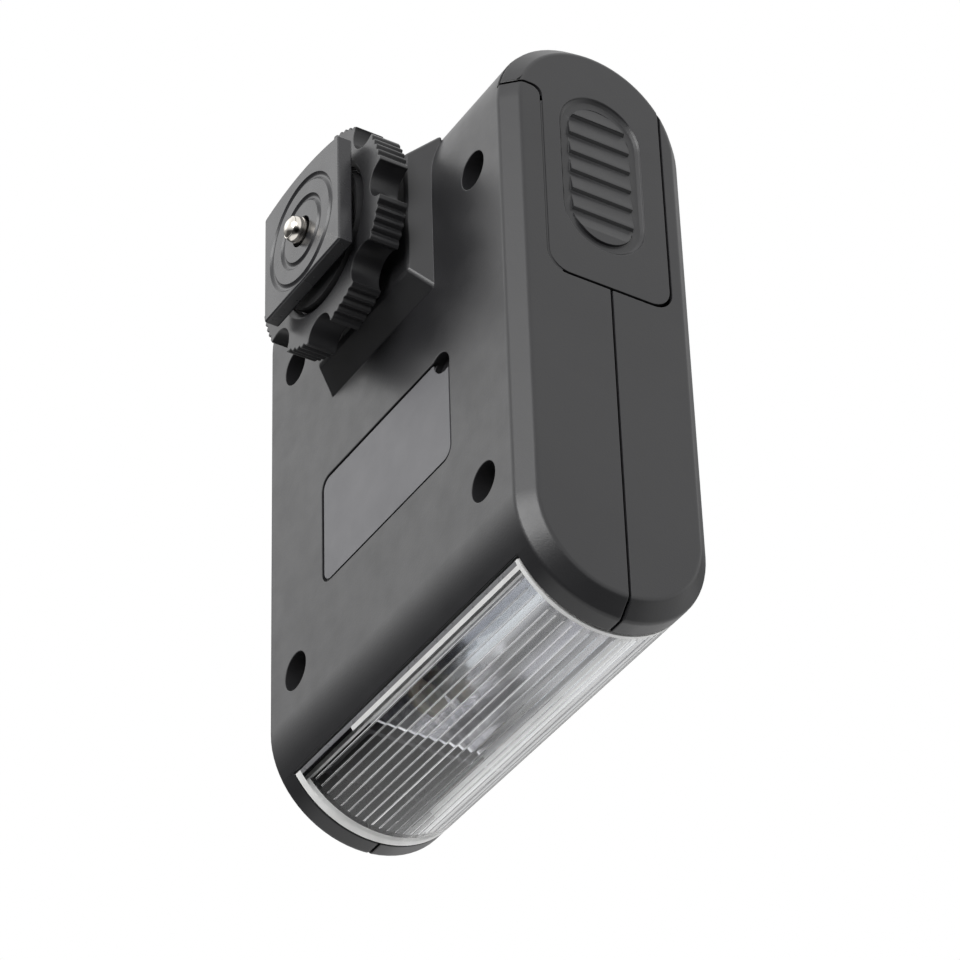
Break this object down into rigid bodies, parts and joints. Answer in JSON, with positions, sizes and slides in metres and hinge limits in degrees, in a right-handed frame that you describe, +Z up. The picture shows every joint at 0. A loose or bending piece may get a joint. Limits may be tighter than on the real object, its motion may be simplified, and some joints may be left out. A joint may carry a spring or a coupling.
{
  "type": "speedlight flash",
  "caption": "Compact shoe-mount camera flash: flat case with a clear ribbed lens across the front, a standard foot with a scalloped lock wheel below, and a sliding battery door on one end.",
  "frame": {"origin": "a point on the shoe foot's seating face (its lowest flat face), on the middle line, 6.0 mm ahead of the contact pin's axis and midway between the two ring grooves; the middle of the foot's sides is at Y = 6.5 mm", "axes": "+Z up from the foot into the case, -Y towards the lens, -X towards the battery door"},
  "size_m": [0.06, 0.0853, 0.041],
  "materials": {
    "case": "satin black moulded plastic, fine spark texture",
    "door": "satin black moulded plastic",
    "foot": "smooth semi-gloss black plastic",
    "wheel": "satin black plastic, ribbed rim",
    "washer": "satin black plastic",
    "label": "plain grey printed film, no text",
    "lens": "clear ribbed plastic",
    "reflector": "bright anodised sheet",
    "tube_glass": "clear glass",
    "steel": "bright nickel plated",
    "brass": "plain",
    "silicone": "translucent off-white silicone",
    "black_plastic": "black moulded plastic",
    "board": "green solder resist",
    "sleeve": "shrink sleeve",
    "ferrite": "sintered ferrite",
    "tape": "winding tape",
    "cell": "plain metallic jacket",
    "red_insulation": "wire insulation",
    "amber": "amber lamp lens"
  },
  "bodies": {
    "case": {"bottom_shell": "case", "top_shell": "case", "shoe_foot": "foot", "label_plate": "label", "lens_cover": "lens", "reflector": "reflector", "flash_tube": "tube_glass", "case_screw_1": "steel", "case_screw_2": "steel", "case_screw_3": "steel", "case_screw_4": "steel", "foot_nut": "steel", "pin_spring": "steel", "battery_spring": "steel", "battery_leaf_contact": "steel", "power_switch_body": "steel", "pin_terminal": "brass", "tube_grommet_left": "silicone", "tube_grommet_right": "silicone", "lamp_baffle": "black_plastic", "thyristor": "black_plastic", "oscillator_transistor": "black_plastic", "test_button_switch": "black_plastic", "control_plate": "black_plastic", "battery_lead_negative": "black_plastic", "sync_lead": "black_plastic", "trigger_lead": "black_plastic", "circuit_board": "board", "main_capacitor": "sleeve", "transformer_core": "ferrite", "transformer_winding": "tape", "trigger_coil": "tape", "battery_front": "cell", "battery_back": "cell", "battery_lead_positive": "red_insulation", "ready_lamp": "amber"},
    "battery_door": {"battery_door": "door", "door_contact_plate": "steel"},
    "washer": {"pressure_washer": "washer"},
    "wheel": {"lock_wheel": "wheel"},
    "contact_pin": {"contact_pin": "steel"},
    "power_switch": {"power_switch_knob": "black_plastic"},
    "test_button": {"test_button": "black_plastic"}
  },
  "joints": [
    {"name": "battery_door_slide", "type": "slide", "parent": "case", "child": "battery_door", "axis": [0, 1, 0], "range_m": [0, 0.034]},
    {"name": "washer_lift", "type": "slide", "parent": "case", "child": "washer", "axis": [0, 0, 1], "range_m": [0, 0.0015]},
    {"name": "lock_wheel_spin", "type": "hinge", "parent": "washer", "child": "wheel", "pos_m": [0, 0.006, 0.00485], "axis": [0, 0, 1], "range_deg": [0, 540]},
    {"name": "contact_pin_press", "type": "slide", "parent": "case", "child": "contact_pin", "axis": [0, 0, 1], "range_m": [0, 0.001], "stiffness_N_per_m": 400, "springref_m": -0.001, "deforming": ["pin_spring"]},
    {"name": "power_switch_slide", "type": "slide", "parent": "case", "child": "power_switch", "axis": [1, 0, 0], "range_m": [0, 0.003]},
    {"name": "test_button_press", "type": "slide", "parent": "case", "child": "test_button", "axis": [0, 0, -1], "range_m": [0, 0.0008], "stiffness_N_per_m": 600, "springref_m": -0.0005}
  ],
  "couplings": [
    {"joint": "lock_wheel_spin", "follows": "washer_lift", "rad_per_m": 6283.2}
  ]
}
